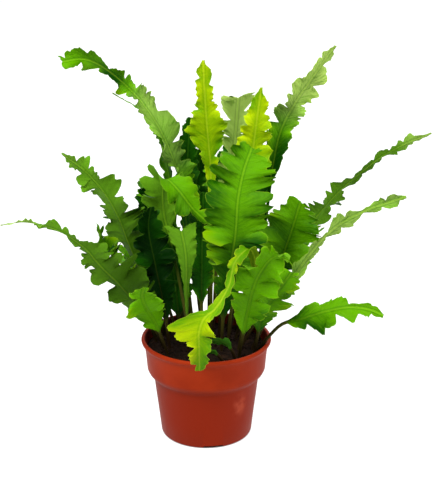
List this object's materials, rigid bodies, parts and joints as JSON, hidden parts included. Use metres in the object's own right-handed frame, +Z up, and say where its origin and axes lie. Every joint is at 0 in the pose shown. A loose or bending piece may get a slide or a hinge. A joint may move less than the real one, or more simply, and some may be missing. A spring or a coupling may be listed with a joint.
{
  "type": "potted fern",
  "caption": "Potted blue star fern with long, waved and notched fronds, in a round terracotta-coloured plastic nursery pot.",
  "frame": {"origin": "centre of the pot's flat underside, on the pot's axis", "axes": "+Z up along the pot's axis, -Y towards the side that the picture shows, +X to that view's right"},
  "size_m": [0.3666, 0.2401, 0.3637],
  "materials": {
    "pot_plastic": "satin moulded plastic, terracotta red-brown",
    "soil": "rough, dark moist peat",
    "leaf_green": "satin, mid-green leaf with a paler midrib",
    "leaf_young": "satin, yellow-green young leaf",
    "leaf_dark": "satin, dark green older leaf"
  },
  "bodies": {
    "root": {"pot": "pot_plastic", "soil": "soil", "frond_left_high": "leaf_green", "frond_left_high_back": "leaf_green", "frond_left_middle": "leaf_green", "frond_left_low": "leaf_green", "frond_left_short": "leaf_green", "frond_left_dark_back": "leaf_dark", "frond_left_dark_inner": "leaf_dark", "frond_left_cupped": "leaf_dark", "frond_left_crest": "leaf_green", "frond_middle_tall": "leaf_young", "frond_middle_dark": "leaf_dark", "frond_middle_dark_back": "leaf_dark", "frond_middle_grey": "leaf_green", "frond_middle_young": "leaf_young", "frond_front_broad": "leaf_green", "frond_inner_dark": "leaf_dark", "frond_front_funnel": "leaf_green", "frond_front_arching": "leaf_young", "frond_right_high": "leaf_green", "frond_right_dark_back": "leaf_dark", "frond_right_long": "leaf_green", "frond_right_cupped": "leaf_green", "frond_right_thin": "leaf_green", "frond_right_broad": "leaf_green", "frond_right_front": "leaf_green", "frond_right_low": "leaf_green", "frond_small_one": "leaf_dark", "frond_small_two": "leaf_dark", "frond_left_lower": "leaf_green", "frond_back_one": "leaf_green", "frond_back_two": "leaf_green", "frond_back_three": "leaf_green", "frond_back_left": "leaf_green", "frond_back_right": "leaf_green", "frond_back_right_low": "leaf_green", "frond_back_low": "leaf_young", "frond_back_left_low": "leaf_green", "frond_back_upright": "leaf_dark", "frond_back_right_high": "leaf_green", "frond_back_left_high": "leaf_green"}
  },
  "joints": []
}
